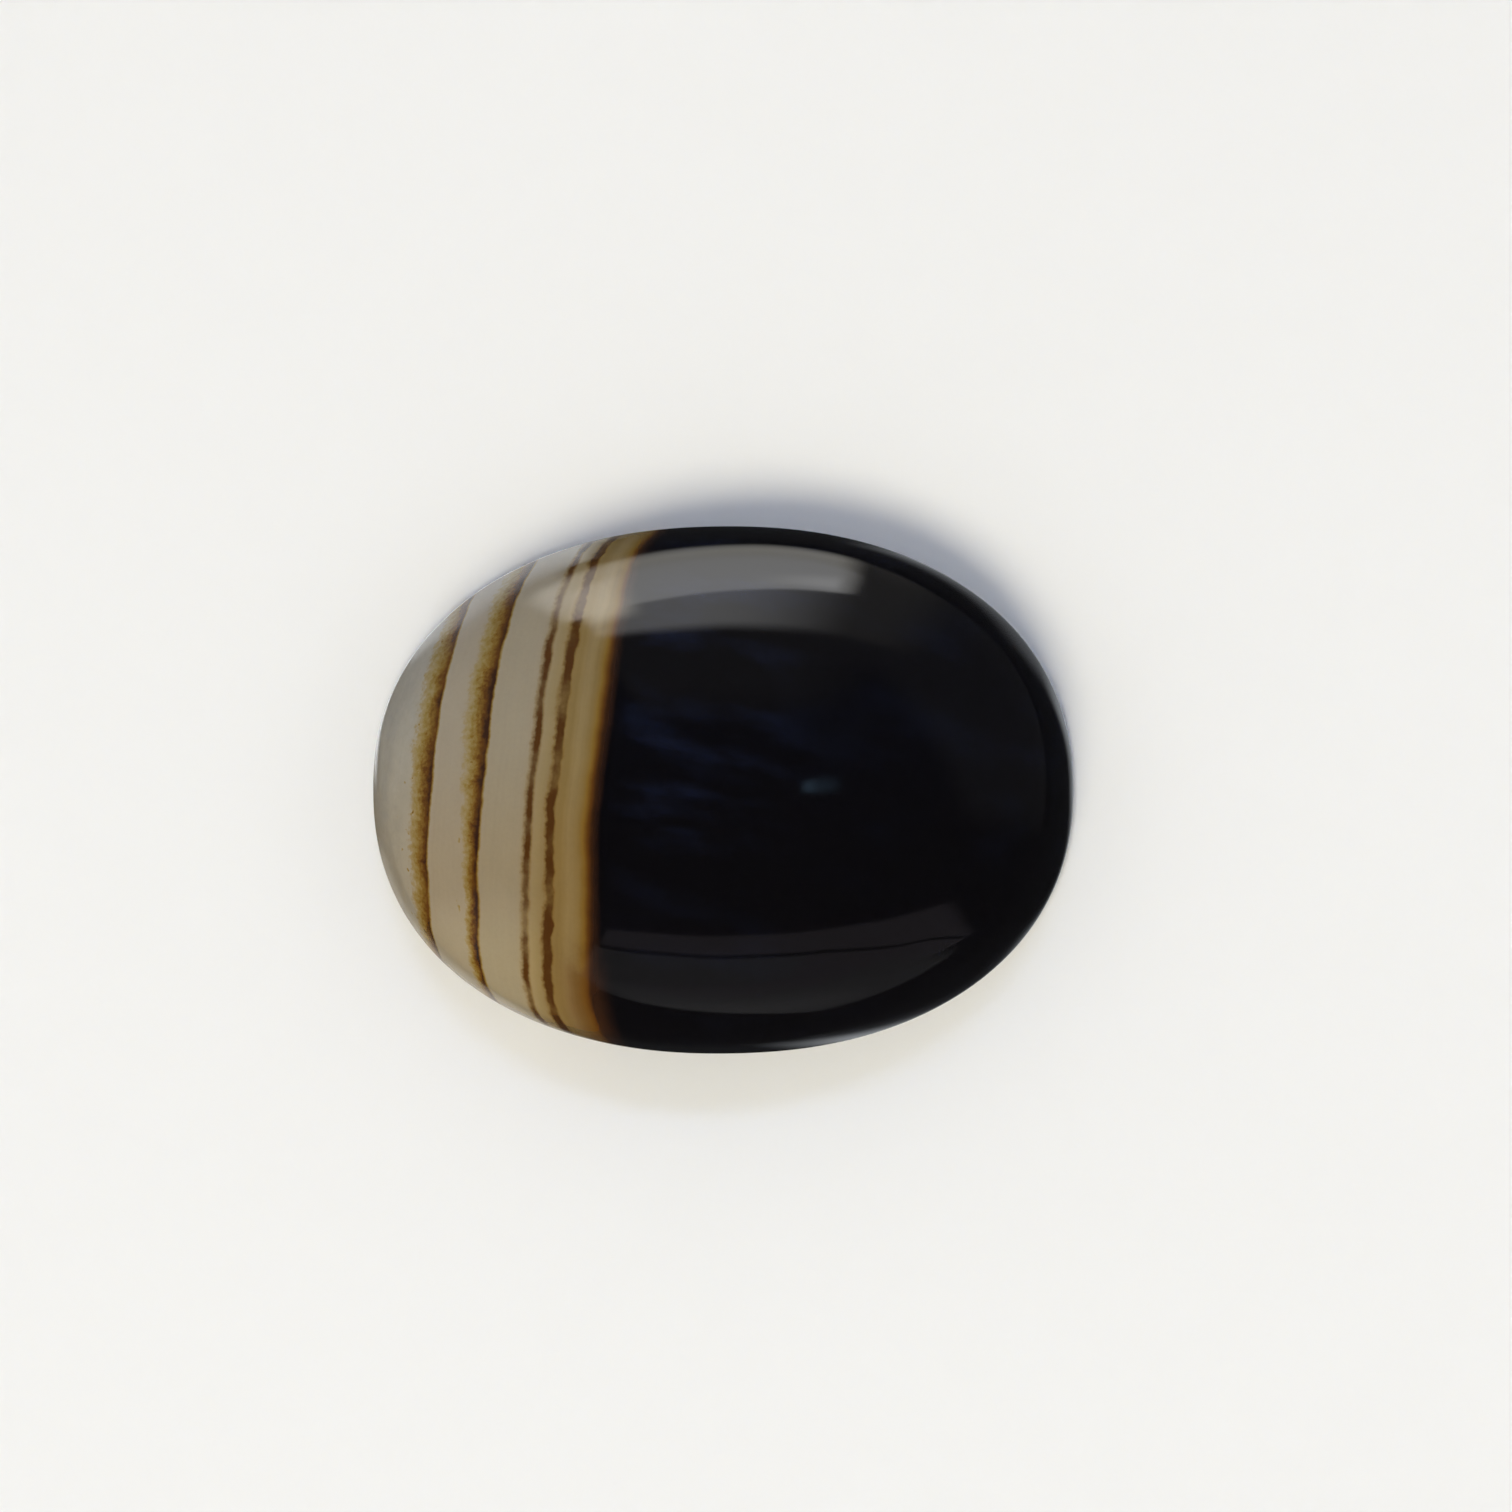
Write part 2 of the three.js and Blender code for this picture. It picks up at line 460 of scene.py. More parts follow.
class NodeTree:
    """Adds shader nodes one at a time; a value is either a number, a colour or a socket."""

    def __init__(self, owner):
        owner.use_nodes = True
        self.tree = owner.node_tree
        self.tree.nodes.clear()

    def add(self, kind, label="", **settings):
        node = self.tree.nodes.new(kind)
        node.label = label
        for name, value in settings.items():
            setattr(node, name, value)
        return node

    def put(self, value, socket):
        if isinstance(value, bpy.types.NodeSocket):
            self.tree.links.new(value, socket)
        elif socket.type == "RGBA":
            socket.default_value = (*value, 1)
        else:
            socket.default_value = value

    def math(self, operation, *values, label=""):
        node = self.add("ShaderNodeMath", label, operation=operation)
        for value, socket in zip(values, node.inputs):
            self.put(value, socket)
        return node.outputs[0]

    def vector(self, operation, *values, label=""):
        node = self.add("ShaderNodeVectorMath", label, operation=operation)
        for value, socket in zip(values, node.inputs):
            self.put(value, socket)
        return node.outputs["Value" if operation == "DOT_PRODUCT" else "Vector"]

    def noise(self, where, scale=1.0, detail=2.0, roughness=0.5, label=""):
        """Noise about 0, mostly within -1 and 1."""
        node = self.add("ShaderNodeTexNoise", label, noise_dimensions="3D")
        self.put(where, node.inputs["Vector"])
        for name, value in (("Scale", scale), ("Detail", detail), ("Roughness", roughness)):
            self.put(value, node.inputs[name])
        return self.math("MULTIPLY_ADD", node.outputs["Fac"], 3.0, -1.5)

    def rise(self, value, low, high, start=0.0, finish=1.0, smooth=True, label=""):
        """Goes from start to finish as the value goes from low to high, and stays there."""
        kind = "SMOOTHSTEP" if smooth else "LINEAR"
        node = self.add("ShaderNodeMapRange", label, interpolation_type=kind, clamp=True)
        for name, setting in (
            ("Value", value), ("From Min", low), ("From Max", high),
            ("To Min", start), ("To Max", finish),
        ):
            self.put(setting, node.inputs[name])
        return node.outputs["Result"]

    def mix(self, factor, first, second, label=""):
        node = self.add("ShaderNodeMix", label, data_type="RGBA")
        colours = [socket for socket in node.inputs if socket.type == "RGBA"]
        self.put(factor, node.inputs[0])
        self.put(first, colours[0])
        self.put(second, colours[1])
        return next(socket for socket in node.outputs if socket.type == "RGBA")

    def scaled(self, vector, factor, label=""):
        """A colour or a vector times a number."""
        node = self.add("ShaderNodeVectorMath", label, operation="SCALE")
        self.put(vector, node.inputs["Vector"])
        self.put(factor, node.inputs["Scale"])
        return node.outputs["Vector"]

    def ramp(self, value, stops, label=""):
        """Colours along a value; each stop is a position from 0 to 1 and a colour."""
        node = self.add("ShaderNodeValToRGB", label)
        elements = node.color_ramp.elements
        elements.remove(elements[1])
        elements[0].position = stops[0][0]
        elements[0].color = (*stops[0][1], 1)
        for position, stop_colour in stops[1:]:
            elements.new(position).color = (*stop_colour, 1)
        self.put(value, node.inputs["Fac"])
        return node.outputs["Color"]

    def end_in(self, output, surface):
        """Adds the output node and joins the surface's shader to it."""
        self.put(surface, self.add(output).inputs["Surface"])


class StonePlace:
    """Where a point of the stone lies, in millimetres, and how far across the bands."""

    def __init__(self, nodes, shape, bands):
        self.shoulder_height = (shape.bevel + shape.wall_height) / MM
        place = nodes.add("ShaderNodeTexCoord").outputs["Object"]
        self.point = nodes.scaled(place, 1 / MM, label="Millimetres")
        parts = nodes.add("ShaderNodeSeparateXYZ")
        nodes.put(self.point, parts.inputs[0])
        self.y, self.z = parts.outputs["Y"], parts.outputs["Z"]

        # The bands are flat sheets that lean, so the distance across them is a dot product.
        sheets = (1, -bands.lean_across, bands.lean_down)
        flat = nodes.vector("DOT_PRODUCT", self.point, sheets, label="Across the bands")
        flat = nodes.math("SUBTRACT", flat, bands.lean_down * STONE_HEIGHT / MM)
        slow = nodes.noise(self.point, scale=0.22, detail=1, label="Slow wobble")
        quick = nodes.noise(self.point, scale=1.1, detail=2, label="Quick wobble")
        wobble = nodes.math("MULTIPLY_ADD", quick, 0.5, slow)
        self.across = nodes.math("MULTIPLY_ADD", wobble, bands.wobble / MM, flat)
        joined = nodes.add("ShaderNodeCombineXYZ", "Band space")
        nodes.put(self.across, joined.inputs["X"])
        nodes.put(self.y, joined.inputs["Y"])
        nodes.put(self.z, joined.inputs["Z"])
        self.band_point = joined.outputs[0]


def ground_colour(nodes, place, bands, colours):
    """The pale bands, the tan band and the black, before any brown line."""
    first, last = -13.6, -3.0
    black = bands.black_edge / MM
    one, two, three, four = (edge / MM for edge in bands.line_edges)
    stops = (
        (one - 0.6, colours.grey_end),
        (one + 0.2, colours.second_pale),
        (two - 0.6, colours.second_pale),
        (two + 0.2, colours.third_pale),
        (three - 0.5, colours.third_pale),
        (three + 0.1, colours.fourth_pale),
        (four + 0.1, colours.tan),
        (four + 0.24, colours.tan),
        (four + 0.50, colours.light_tan),
        (black - 0.64, colours.light_tan),
        (black - 0.42, colours.tan),
        (black - 0.22, colours.gold),
        (black - 0.06, colours.brown),
        (black + 0.10, colours.deep_brown),
        (black + 0.42, colours.black),
    )
    along = nodes.rise(place.across, first, last, smooth=False)
    stops = [((spot - first) / (last - first), stone) for spot, stone in stops]
    return nodes.ramp(along, stops, "Ground colour")


# Counted from the grey end, the first lines are broad and the others thin.
BROAD_LINES = 2


def stain(nodes, place, bands):
    """How brown the broad lines make the stone, and then how brown the thin ones do, from 0 to 1.
    Each line starts at a ragged front, grows, and stops at its edge."""
    stretched = nodes.vector("MULTIPLY", place.band_point, (2.0, 4.4, 4.4))
    fibres = nodes.noise(stretched, detail=4, roughness=0.6, label="Fibres")
    blotches = nodes.noise(place.point, scale=1.7, detail=4, roughness=0.65, label="Blotches")
    ragged = nodes.math("MULTIPLY_ADD", fibres, 0.5, nodes.math("MULTIPLY", blotches, 0.75))
    grains = nodes.noise(place.point, scale=5.5, detail=3, roughness=0.6, label="Grains")
    patches = nodes.noise(place.point, scale=0.7, detail=4, roughness=0.6, label="Patches")
    waves = nodes.noise(place.point, scale=1.2, detail=2, label="Waves")
    dots = nodes.noise(place.point, scale=3.2, detail=2, label="Dots")
    dots = nodes.rise(dots, 0.45, 0.8, 0.0, 0.8)
    jagged = nodes.math("MULTIPLY_ADD", grains, 0.025, place.across)
    upper = nodes.rise(place.y, -4.0, 3.0, label="Further on the +Y side")
    shoulder = place.shoulder_height
    on_wall = nodes.rise(place.z, shoulder - 0.55, shoulder + 0.25, 1.0, 0.0, label="On the wall")
    broad, thin = 0.0, 0.0
    for number in range(len(bands.line_edges)):
        front = bands.line_fronts[number] / MM
        edge = bands.line_edges[number] / MM
        blur = bands.line_blurs[number] / MM
        feather = bands.line_feathers[number] / MM
        across = nodes.math("MULTIPLY_ADD", waves, bands.line_waves[number] / MM, jagged)
        moved = nodes.math("MULTIPLY_ADD", ragged, feather, front)
        moved = nodes.math("MULTIPLY_ADD", upper, -bands.line_drifts[number] / MM, moved)
        full = edge - bands.line_fills[number] / MM
        growth = nodes.rise(across, moved, full, smooth=False, label="Growth")
        middle = nodes.math("MULTIPLY", growth, nodes.math("SUBTRACT", 1.0, growth))
        growth = nodes.math("MULTIPLY_ADD", nodes.math("MULTIPLY", grains, middle), 0.9, growth)
        stop = nodes.rise(across, edge - blur / 2, edge + blur / 2, 1.0, 0.0, label="Stop")
        depth, wall_depth = bands.line_depths[number], bands.line_wall_depths[number]
        depth = nodes.math("MULTIPLY_ADD", on_wall, wall_depth - depth, depth)
        depth = nodes.math("MULTIPLY_ADD", patches, bands.line_unevenness[number], depth)
        line = nodes.math("MULTIPLY", nodes.math("MULTIPLY", growth, stop), depth)
        if number >= BROAD_LINES:
            thin = nodes.math("MAXIMUM", line, thin)
            continue
        near = nodes.rise(place.across, front - 2.2 * feather, front + feather, label="Near it")
        speckles = nodes.math("MULTIPLY", nodes.math("MULTIPLY", near, stop), dots)
        broad = nodes.math("MAXIMUM", nodes.math("MAXIMUM", line, speckles), broad)
    return broad, thin


def stained(nodes, place, bands, colours):
    """The ground colour under the brown of all four lines."""
    ground = ground_colour(nodes, place, bands, colours)
    broad, thin = stain(nodes, place, bands)
    stains = nodes.ramp(broad, (
        (0.00, colours.third_pale),
        (0.22, colours.yellowed),
        (0.44, colours.ochre),
        (0.60, colours.gold),
        (0.80, colours.brown),
        (1.00, colours.deep_brown),
    ), "Stain colour")
    stone = nodes.mix(nodes.rise(broad, 0.0, 0.22), ground, stains)

    # Each thin line has a faint gold fringe round its dark core.
    stone = nodes.mix(nodes.rise(thin, 0.0, 0.5, 0.0, 0.5), stone, colours.gold)
    return nodes.mix(nodes.rise(thin, 0.3, 1.05), stone, colours.thin_line)


def spread_brown(nodes, place, bands, colours, stone):
    """Towards the -Y foot the brown beside the black spreads out to both sides."""
    patchy = nodes.noise(place.point, scale=1.5, detail=3, roughness=0.6, label="Patchy")
    lower = nodes.math("MULTIPLY_ADD", patchy, 0.5, place.y)
    lower = nodes.rise(lower, -6.8, -5.2, 1.0, 0.0, label="Near the -Y foot")
    black = bands.black_edge / MM
    before = nodes.rise(place.across, black - 1.3, black - 0.4, 0.0, 0.65)
    before = nodes.math("MULTIPLY", before, nodes.rise(place.across, black - 0.1, black, 1.0, 0.0))
    beyond = nodes.rise(place.across, black - 0.05, black + 0.15)
    beyond = nodes.math("MULTIPLY", beyond, nodes.rise(place.across, black, black + 0.9, 1.0, 0.0))
    stone = nodes.mix(nodes.math("MULTIPLY", before, lower), stone, colours.brown)
    return nodes.mix(nodes.math("MULTIPLY", beyond, lower), stone, colours.deep_brown)


def uneven(nodes, place, in_tan, stone):
    """Streaks along the bands, soft clouds, a mottled tip and fine grain."""
    layered = nodes.vector("MULTIPLY", place.band_point, (5.0, 0.12, 0.12))
    streaks = nodes.noise(layered, detail=3, roughness=0.6, label="Streaks along the bands")
    clouds = nodes.noise(place.point, scale=0.7, detail=3, label="Clouds")
    grain = nodes.noise(place.point, scale=7.0, detail=2, label="Grain")
    mottle = nodes.noise(place.point, scale=1.6, detail=4, roughness=0.7, label="Mottle")
    streaking = nodes.math("MULTIPLY_ADD", in_tan, 0.07, 0.03, label="More streaks in the tan")
    tip = nodes.rise(place.across, -12.0, -11.0, 0.10, 0.015, label="Mottled tip")
    light = 1.0
    for pattern, strength in ((streaks, streaking), (clouds, 0.035), (mottle, tip), (grain, 0.028)):
        light = nodes.math("MULTIPLY_ADD", pattern, strength, light)
    return nodes.scaled(stone, light)


def tinted(nodes, place, in_tan, colours, stone):
    """The pale bands are lighter near the -Y foot, a painted glow of light shining through the thin edge,
    and all of the stone is cooler on the +Y side.
    """
    # Painted glow of light through the thin edge near the -Y foot, drawn into the colour
    lighter = nodes.vector("MULTIPLY", stone, colours.painted_foot_glow)
    pale = nodes.math("SUBTRACT", 1.0, in_tan)
    pale = nodes.math("MULTIPLY", pale, nodes.rise(place.y, -5.5, -3.5, 1.0, 0.0))
    stone = nodes.mix(pale, stone, lighter)
    cooler = nodes.vector("MULTIPLY", stone, colours.far_tint)
    return nodes.mix(nodes.rise(place.y, -3.0, 3.0), stone, cooler)


def with_wisps(nodes, place, bands, colours, stone):
    """Faint blue clouds in the black, drawn out along the stone. They are clearest near the black's
    edge and fade towards +X and towards -Y."""
    leaning = nodes.add("ShaderNodeVectorRotate", "Leaning", rotation_type="Z_AXIS")
    nodes.put(place.point, leaning.inputs["Vector"])
    nodes.put(bands.wisp_lean, leaning.inputs["Angle"])
    drawn_out = nodes.vector("MULTIPLY", leaning.outputs["Vector"], (0.2, 0.62, 0.62))
    wisps = nodes.noise(drawn_out, detail=5, roughness=0.55, label="Wisps")
    wisps = nodes.rise(wisps, -0.15, 0.85, 0.0, 0.9)
    black = bands.black_edge / MM
    for limit in (
        nodes.rise(place.across, black + 0.4, black + 1.2),
        nodes.rise(place.across, 0.0, 3.5, 1.0, 0.2),
        nodes.rise(place.y, -3.5, -0.5, 0.2, 1.0),
    ):
        wisps = nodes.math("MULTIPLY", wisps, limit)
    return nodes.mix(wisps, stone, colours.wisp, label="Stone colour")


def stone_colour(nodes, place, bands, colours):
    """Bands, stains and wisps, with the faint unevenness that runs through all of them."""
    in_tan = nodes.rise(place.across, bands.line_edges[2] / MM, bands.line_edges[3] / MM)
    stone = stained(nodes, place, bands, colours)
    stone = spread_brown(nodes, place, bands, colours, stone)
    stone = uneven(nodes, place, in_tan, stone)
    stone = tinted(nodes, place, in_tan, colours, stone)
    return with_wisps(nodes, place, bands, colours, stone)


# Red light travels furthest inside the stone, then green, then blue.
GLOW_BY_COLOUR = (1.0, 0.6, 0.35)


def agate_material(settings):
    finish = settings.finish
    material = bpy.data.materials.new("polished_banded_agate")
    nodes = NodeTree(material)
    place = StonePlace(nodes, settings.shape, settings.bands)

    shader = nodes.add("ShaderNodeBsdfPrincipled")
    colour_value = stone_colour(nodes, place, settings.bands, settings.colours)
    nodes.put(colour_value, shader.inputs["Base Color"])

    bevel_height = settings.shape.bevel / MM
    sides = nodes.rise(
        place.z, bevel_height - 0.02, bevel_height + 0.04, finish.bevel_finish, finish.polish
    )
    on_base = nodes.rise(place.z, 0.02, 0.06, 1.0, 0.0, label="On the base")
    rough = nodes.math("MULTIPLY_ADD", on_base, finish.base_finish - finish.bevel_finish, sides)
    wear = nodes.noise(place.point, scale=1.4, detail=4, roughness=0.7, label="Uneven polish")
    rough = nodes.math("MULTIPLY_ADD", wear, 0.008, rough)
    nodes.put(rough, shader.inputs["Roughness"])

    lapping = nodes.noise(place.point, scale=14.0, detail=3, roughness=0.7, label="Lapping")
    bump = nodes.add("ShaderNodeBump", "Lapped base")
    nodes.put(lapping, bump.inputs["Height"])
    nodes.put(nodes.math("MULTIPLY", on_base, 0.4), bump.inputs["Strength"])
    nodes.put(0.01 * MM, bump.inputs["Distance"])
    nodes.put(bump.outputs["Normal"], shader.inputs["Normal"])

    nodes.put(finish.refraction, shader.inputs["IOR"])
    nodes.put(finish.glow, shader.inputs["Subsurface Weight"])
    nodes.put(GLOW_BY_COLOUR, shader.inputs["Subsurface Radius"])
    nodes.put(finish.glow_reach, shader.inputs["Subsurface Scale"])
    nodes.end_in("ShaderNodeOutputMaterial", shader.outputs["BSDF"])
    return material


def new_object(name, data):
    made = bpy.data.objects.new(name, data)
    bpy.context.scene.collection.objects.link(made)
    return made


def floor_material(studio):
    """Matt and pale, with hardly any gloss."""
    material = bpy.data.materials.new("pale_floor")
    nodes = NodeTree(material)
    shader = nodes.add("ShaderNodeBsdfPrincipled")
    nodes.put(tuple(studio.floor_colour), shader.inputs["Base Color"])
    nodes.put(0.9, shader.inputs["Roughness"])
    nodes.put(0.2, shader.inputs["Specular IOR Level"])
    nodes.end_in("ShaderNodeOutputMaterial", shader.outputs["BSDF"])
    return material


def add_floor(studio):
    """A flat floor that curves up into a plain wall all round, and isn't mirrored in the stone."""
    radius, bend, top = studio.floor_radius, 0.12, 0.45
    curve = np.linspace(0, math.pi / 2, 17)
    profile = [(radius * part, 0.0) for part in np.linspace(0, 1, 9)[1:]]
    profile += [(radius + bend * math.sin(a), bend * (1 - math.cos(a))) for a in curve[1:]]
    profile.append((radius + bend, top))
    around = 96
    points = [(0.0, 0.0, 0.0)]
    faces = [(0, 1 + k, 1 + (k + 1) % around) for k in range(around)]
    for ring, (r, z) in enumerate(profile):
        for k in range(around):
            a = 2 * math.pi * k / around
            points.append((r * math.cos(a), r * math.sin(a), z))
            if ring:
                inner, outer = 1 + (ring - 1) * around, 1 + ring * around
                after = (k + 1) % around
                faces.append((inner + k, outer + k, outer + after, inner + after))
    mesh = bpy.data.meshes.new("floor")
    mesh.from_pydata(points, [], faces)
    mesh.shade_smooth()
    mesh.materials.append(floor_material(studio))
    floor = new_object("floor", mesh)
    floor.visible_glossy = False


def direction(azimuth, polar):
    """A direction by its angle from +X and its angle from straight up, both in degrees."""
    a, p = math.radians(azimuth), math.radians(polar)
    return Vector((math.sin(p) * math.cos(a), math.sin(p) * math.sin(a), math.cos(p)))


def card_mesh(name, distance, corners):
    """A flat card that faces the stone, with its middle at that distance in metres. Its corners
    are angles, as direction() takes them: lower left, lower right, upper right, upper left."""
    ways = [direction(*corner) for corner in corners]
    facing = sum(ways, Vector()).normalized()
    spots = [way * distance / way.dot(facing) for way in ways]
    lower_left, lower_right, upper_right, upper_left = spots
    steps = 16
    points, places = [], []
    for v in np.linspace(0, 1, steps + 1):
        left, right = lower_left.lerp(upper_left, v), lower_right.lerp(upper_right, v)
        for u in np.linspace(0, 1, steps + 1):
            points.append(left.lerp(right, u))
            places.append((u, v))
    side = steps + 1
    faces = [
        (k, k + 1, k + 1 + side, k + side)
        for k in range(steps * side) if k % side < steps
    ]
    mesh = bpy.data.meshes.new(name)
    mesh.from_pydata(points, [], faces)
    layer = mesh.uv_layers.new(name="Across and up")
    for loop in mesh.loops:
        layer.data[loop.index].uv = places[loop.vertex_index]
    return mesh


def card_material(name, strength, fades, light_colour):
    """A glow that fades towards the card's left, right, lower and upper edges, by the shares of
    its width or height in fades."""
    material = bpy.data.materials.new(name)
    # The polish finds the cards by itself, so they needn't be sampled as lamps.
    material.cycles.emission_sampling = "NONE"
    nodes = NodeTree(material)
    parts = nodes.add("ShaderNodeSeparateXYZ")
    nodes.put(nodes.add("ShaderNodeTexCoord").outputs["UV"], parts.inputs[0])
    left_fade, right_fade, lower_fade, upper_fade = fades
    glow = 1.0
    for axis, near, far in (("X", left_fade, right_fade), ("Y", lower_fade, upper_fade)):
        along = parts.outputs[axis]
        glow = nodes.math("MULTIPLY", glow, nodes.rise(along, 0.0, near))
        glow = nodes.math("MULTIPLY", glow, nodes.rise(along, 1.0 - far, 1.0, 1.0, 0.0))
    shader = nodes.add("ShaderNodeEmission")
    nodes.put(light_colour, shader.inputs["Color"])
    nodes.put(strength, shader.inputs["Strength"])
    mixed = nodes.add("ShaderNodeMixShader")
    nodes.put(glow, mixed.inputs[0])
    nodes.put(nodes.add("ShaderNodeBsdfTransparent").outputs[0], mixed.inputs[1])
    nodes.put(shader.outputs[0], mixed.inputs[2])
    nodes.end_in("ShaderNodeOutputMaterial", mixed.outputs[0])
    return material


def add_mirrored_card(name, strength, distance, corners, fades, light_colour):
    """A glowing card that only the polish mirrors."""
    mesh = card_mesh(name, distance, corners)
    mesh.materials.append(card_material(name, strength, fades, light_colour))
    card = new_object(name, mesh)
    card.visible_camera = False
    card.visible_diffuse = False
    card.visible_shadow = False


# Colours of the light of the cards, the lamps and the room
NEUTRAL, COOL, BLUISH = (1.0, 1.0, 1.0), (0.9, 0.95, 1.0), (0.42, 0.7, 1.0)
WARM, PINKISH = (1.0, 0.97, 0.88), (1.0, 0.9, 0.96)
SUNNY, SKY_BLUE, DIM_ROOM = (1.0, 0.93, 0.74), (0.48, 0.63, 1.0), (0.95, 0.97, 1.0)

# The cards that the polish mirrors. Each has its strength, its distance, its four corners as
# (angle from +X, angle from straight up) in degrees, its four fades and the colour of its light.
MIRRORED_CARDS = {
    "box_streak": (3.8, 0.93, ((92.9, 72.4), (74.7, 76.8), (74.4, 67.3), (92.8, 66.4)),
        (0.8, 0.14, 0.6, 0.3), NEUTRAL),
    "box_glint": (4.7, 0.95, ((119, 92), (106, 92), (106, 58), (119, 59)),
        (0.4, 0.5, 0.75, 0.2), WARM),
    "box_top": (2.9, 1, ((126.5, 101), (74, 101), (70.5, 67), (122.5, 65.5)),
        (0.14, 0.14, 0.9, 0.05), NEUTRAL),
    "soft_box": (2.05, 1.05, ((127.5, 111), (73, 121), (70.5, 67), (122.5, 65.5)),
        (0.14, 0.14, 0.36, 0.05), WARM),
    "box_middle": (0.5, 1.08, ((124, 110), (76, 118), (76, 70), (122, 70)),
        (0.06, 0.5, 0.2, 0.05), NEUTRAL),
    "halo": (1.45, 1.15, ((118, 74.9), (68.7, 75.9), (65.6, 47.8), (118.5, 54.3)),
        (0.06, 0.6, 0.05, 0.2), NEUTRAL),
    "side_glow": (0.2, 1.25, ((92.8, 121.8), (50.5, 111.4), (45.2, 51.8), (91.2, 48)),
        (0.02, 0.42, 0.2, 0.08), WARM),
    "right_glow": (0.06, 1.4, ((78, 112), (-20, 108), (-20, 48), (78, 48)),
        (0.1, 0.2, 0.15, 0.12), NEUTRAL),
    "left_patch": (0.3, 1.33, ((150, 138), (116, 134), (117, 106), (150, 104)),
        (0.5, 0.05, 0.1, 0.3), COOL),
    "low_side": (0.2, 1.32, ((232, 112), (203, 112), (206, 48), (232, 50)),
        (0.3, 0.3, 0.3, 0.1), NEUTRAL),
    "left_glow": (0.08, 1.35, ((206, 142), (116, 138), (123, 32), (206, 32)),
        (0.3, 0.02, 0.15, 0.3), COOL),
    "left_rim": (2, 0.85, ((182.7, 147.4), (116.6, 174.9), (106.9, 154.3), (140.2, 142)),
        (0.2, 0.45, 0.2, 0.2), COOL),
    "left_column": (0.85, 0.88, ((154.7, 141.5), (106.4, 160.5), (110.9, 129.1), (133.5, 125.9)),
        (0.2, 0.12, 0.1, 0.5), COOL),
    "right_rim": (0.85, 0.85, ((266.5, 146.5), (317.5, 135.7), (24.7, 140.8), (90, 161.2)),
        (0.2, 0.18, 0.18, 0.2), COOL),
    "rim_halo": (0.24, 0.88, ((271.4, 141.3), (316.4, 130.8), (40.7, 136.5), (86.6, 153.4)),
        (0.1, 0.3, 0.3, 0.2), COOL),
    "near_rim": (0.5, 0.9, ((248, 172), (190, 172), (186, 140), (240, 140)),
        (0.2, 0.2, 0.1, 0.6), WARM),
    "high_glow": (0.074, 1.45, ((119, 64), (46, 58), (46, 20), (127, 20)),
        (0.05, 0.4, 0.02, 0.4), WARM),
    "seam_high": (0.03, 1.1, ((288.7, 57.3), (243.2, 52.8), (242.8, 50.7), (289.1, 55.2)),
        (0.01, 0.01, 0.3, 0.3), NEUTRAL),
    "seam_bend": (0.03, 1.11, ((304, 67.9), (288.1, 57.2), (288.9, 55.2), (304.2, 66)),
        (0.01, 0.01, 0.3, 0.3), NEUTRAL),
    "seam_side": (0.03, 1.12, ((311.6, 100.9), (303.1, 67.3), (304.6, 66.3), (312.9, 100)),
        (0.2, 0.01, 0.3, 0.3), NEUTRAL),
    "low_bright": (0.29, 1.15, ((297.3, 105.1), (281.9, 103.5), (243, 61.9), (294.1, 61.8)),
        (0.85, 0.1, 0.35, 0.4), NEUTRAL),
    "low_panel": (0.155, 1.17, ((310.6, 101.9), (282.2, 103.5), (243.8, 64.7), (303.7, 66.7)),
        (0.25, 0.04, 0.08, 0.01), NEUTRAL),
    "low_corner": (0.155, 1.18, ((303.8, 67.7), (243.5, 66.1), (242.5, 51.9), (288.9, 56.2)),
        (0.01, 0.01, 0.01, 0.01), NEUTRAL),
    "low_frame": (0.16, 1.2, ((314.8, 99.3), (244.4, 62.1), (241.9, 45), (320.4, 60.9)),
        (0.12, 0.01, 0.01, 0.06), PINKISH),
    "small_glint": (0.32, 0.8, ((370, 20), (352, 20), (346, 11), (372, 11)),
        (0.5, 0.5, 0.5, 0.5), BLUISH),
    "glint_core": (1.1, 0.81, ((368, 15.5), (353, 15.5), (350, 11.5), (370, 11.5)),
        (0.5, 0.5, 0.5, 0.5), BLUISH),
}

# The lamps' width and their distance from the stone, in metres
LAMP_SIZE = 0.6
LAMP_DISTANCE = 0.75


def add_lamp(name, azimuth, polar, watts, light_colour):
    """A large soft lamp that lights the stone and the floor, and isn't mirrored."""
    lamp = bpy.data.lights.new(name, "AREA")
    lamp.shape = "DISK"
    lamp.size = LAMP_SIZE
    lamp.energy = watts
    lamp.color = light_colour
    light = new_object(name, lamp)
    light.location = direction(azimuth, polar) * LAMP_DISTANCE
    light.rotation_mode = "QUATERNION"
    light.rotation_quaternion = light.location.to_track_quat("Z", "Y")
    light.visible_glossy = False
    light.visible_camera = False


def add_lights(studio):
    """The cards, the two lamps and the dim light of the room."""
    for name, (strength, *rest) in MIRRORED_CARDS.items():
        add_mirrored_card(name, strength * studio.card_strength, *rest)
    add_lamp("main_light", 250, 45, studio.main_power, SUNNY)
    add_lamp("fill_light", 90, 60, studio.fill_power, SKY_BLUE)

    room = bpy.data.worlds.new("dark_room")
    nodes = NodeTree(room)
    background = nodes.add("ShaderNodeBackground")
    nodes.put(DIM_ROOM, background.inputs["Color"])
    nodes.put(studio.room_strength, background.inputs["Strength"])
    nodes.end_in("ShaderNodeOutputWorld", background.outputs["Background"])
    bpy.context.scene.world = room


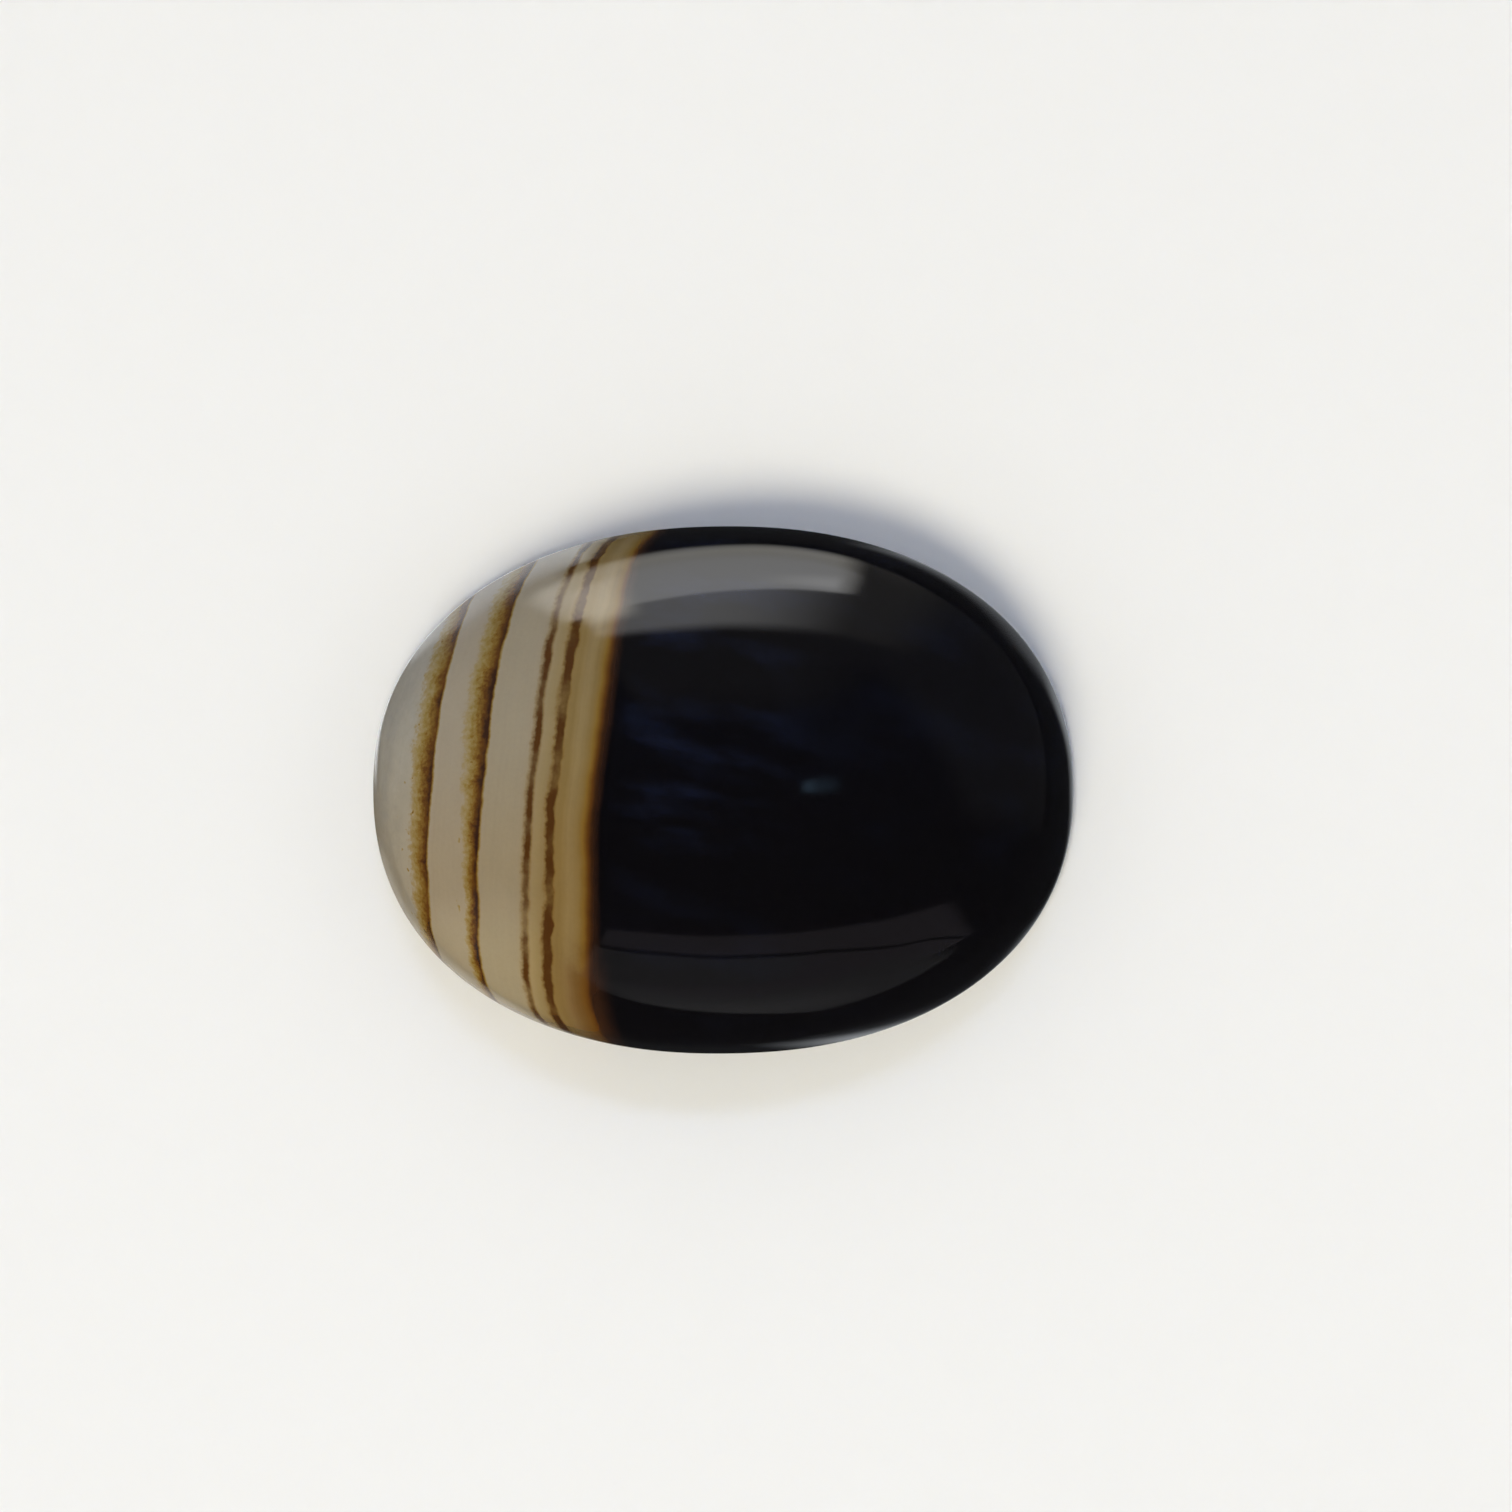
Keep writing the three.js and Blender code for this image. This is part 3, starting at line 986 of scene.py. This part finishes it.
def add_camera(studio):
    """Almost straight above the stone, with a long lens, as the photograph was taken."""
    lens_data = bpy.data.cameras.new("camera")
    lens_data.lens = lens_data.sensor_width * studio.camera_distance / studio.frame_width
    lens_data.clip_start, lens_data.clip_end = 0.01, 10
    camera = new_object("camera", lens_data)

    back = Vector((math.sin(studio.camera_lean), 0, math.cos(studio.camera_lean)))
    level_up = Vector((0, 1, 0))
    level_right = level_up.cross(back)
    c, s = math.cos(studio.camera_turn), math.sin(studio.camera_turn)
    right = level_right * c - level_up * s
    up = level_right * s + level_up * c
    aim = right * studio.aim_right + up * studio.aim_up
    turn = Matrix((right, up, back)).transposed().to_4x4()
    camera.matrix_world = Matrix.Translation(aim + back * studio.camera_distance) @ turn
    bpy.context.scene.camera = camera


class AgateSettings(PropertyGroup):
    """Everything that a user may change."""

    shape: PointerProperty(type=AgateShape)
    bands: PointerProperty(type=AgateBands)
    colours: PointerProperty(type=AgateColours)
    finish: PointerProperty(type=AgateFinish)
    studio: PointerProperty(type=AgateStudio)


class AGATE_OT_stone(Operator):
    """Add the polished stone in place of its plain solid"""

    bl_idname = "agate.stone"
    bl_label = "Agate Stone"

    def execute(self, context):
        settings = context.scene.agate
        mesh = stone_mesh(settings.shape)
        mesh.materials.append(agate_material(settings))
        stone = new_object("agate_stone", mesh)
        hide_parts("cabochon")
        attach(stone, "root")
        return {"FINISHED"}


class AGATE_OT_stage(Operator):
    """Add the pale floor, the lights and the camera"""

    bl_idname = "agate.stage"
    bl_label = "Floor, Lights and Camera"

    def execute(self, context):
        studio = context.scene.agate.studio
        add_floor(studio)
        add_lights(studio)
        add_camera(studio)
        context.scene.view_settings.view_transform = "Standard"
        return {"FINISHED"}


class AGATE_PT_sidebar(Panel):
    """Everything that builds the stone, and its settings"""

    bl_label = "Agate"
    bl_idname = "AGATE_PT_sidebar"
    bl_space_type = "VIEW_3D"
    bl_region_type = "UI"
    bl_category = "Agate"

    def draw(self, context):
        settings = context.scene.agate
        column = self.layout.column(align=True)
        for operator in (AGATE_OT_stone, AGATE_OT_stage):
            column.operator(operator.bl_idname)
        for title in ("shape", "bands", "colours", "finish", "studio"):
            group = getattr(settings, title)
            box = self.layout.box()
            box.label(text=title.capitalize())
            for name in group.__annotations__:
                box.prop(group, name)


CLASSES = (
    AgateShape, AgateBands, AgateColours, AgateFinish, AgateStudio, AgateSettings,
    AGATE_OT_stone, AGATE_OT_stage, AGATE_PT_sidebar,
)


def register():
    for cls in CLASSES:
        bpy.utils.register_class(cls)
    bpy.types.Scene.agate = PointerProperty(type=AgateSettings)


def unregister():
    del bpy.types.Scene.agate
    for cls in reversed(CLASSES):
        bpy.utils.unregister_class(cls)


def main():
    register()
    bpy.ops.agate.stone()
    bpy.ops.agate.stage()


if __name__ == "__main__":
    main()
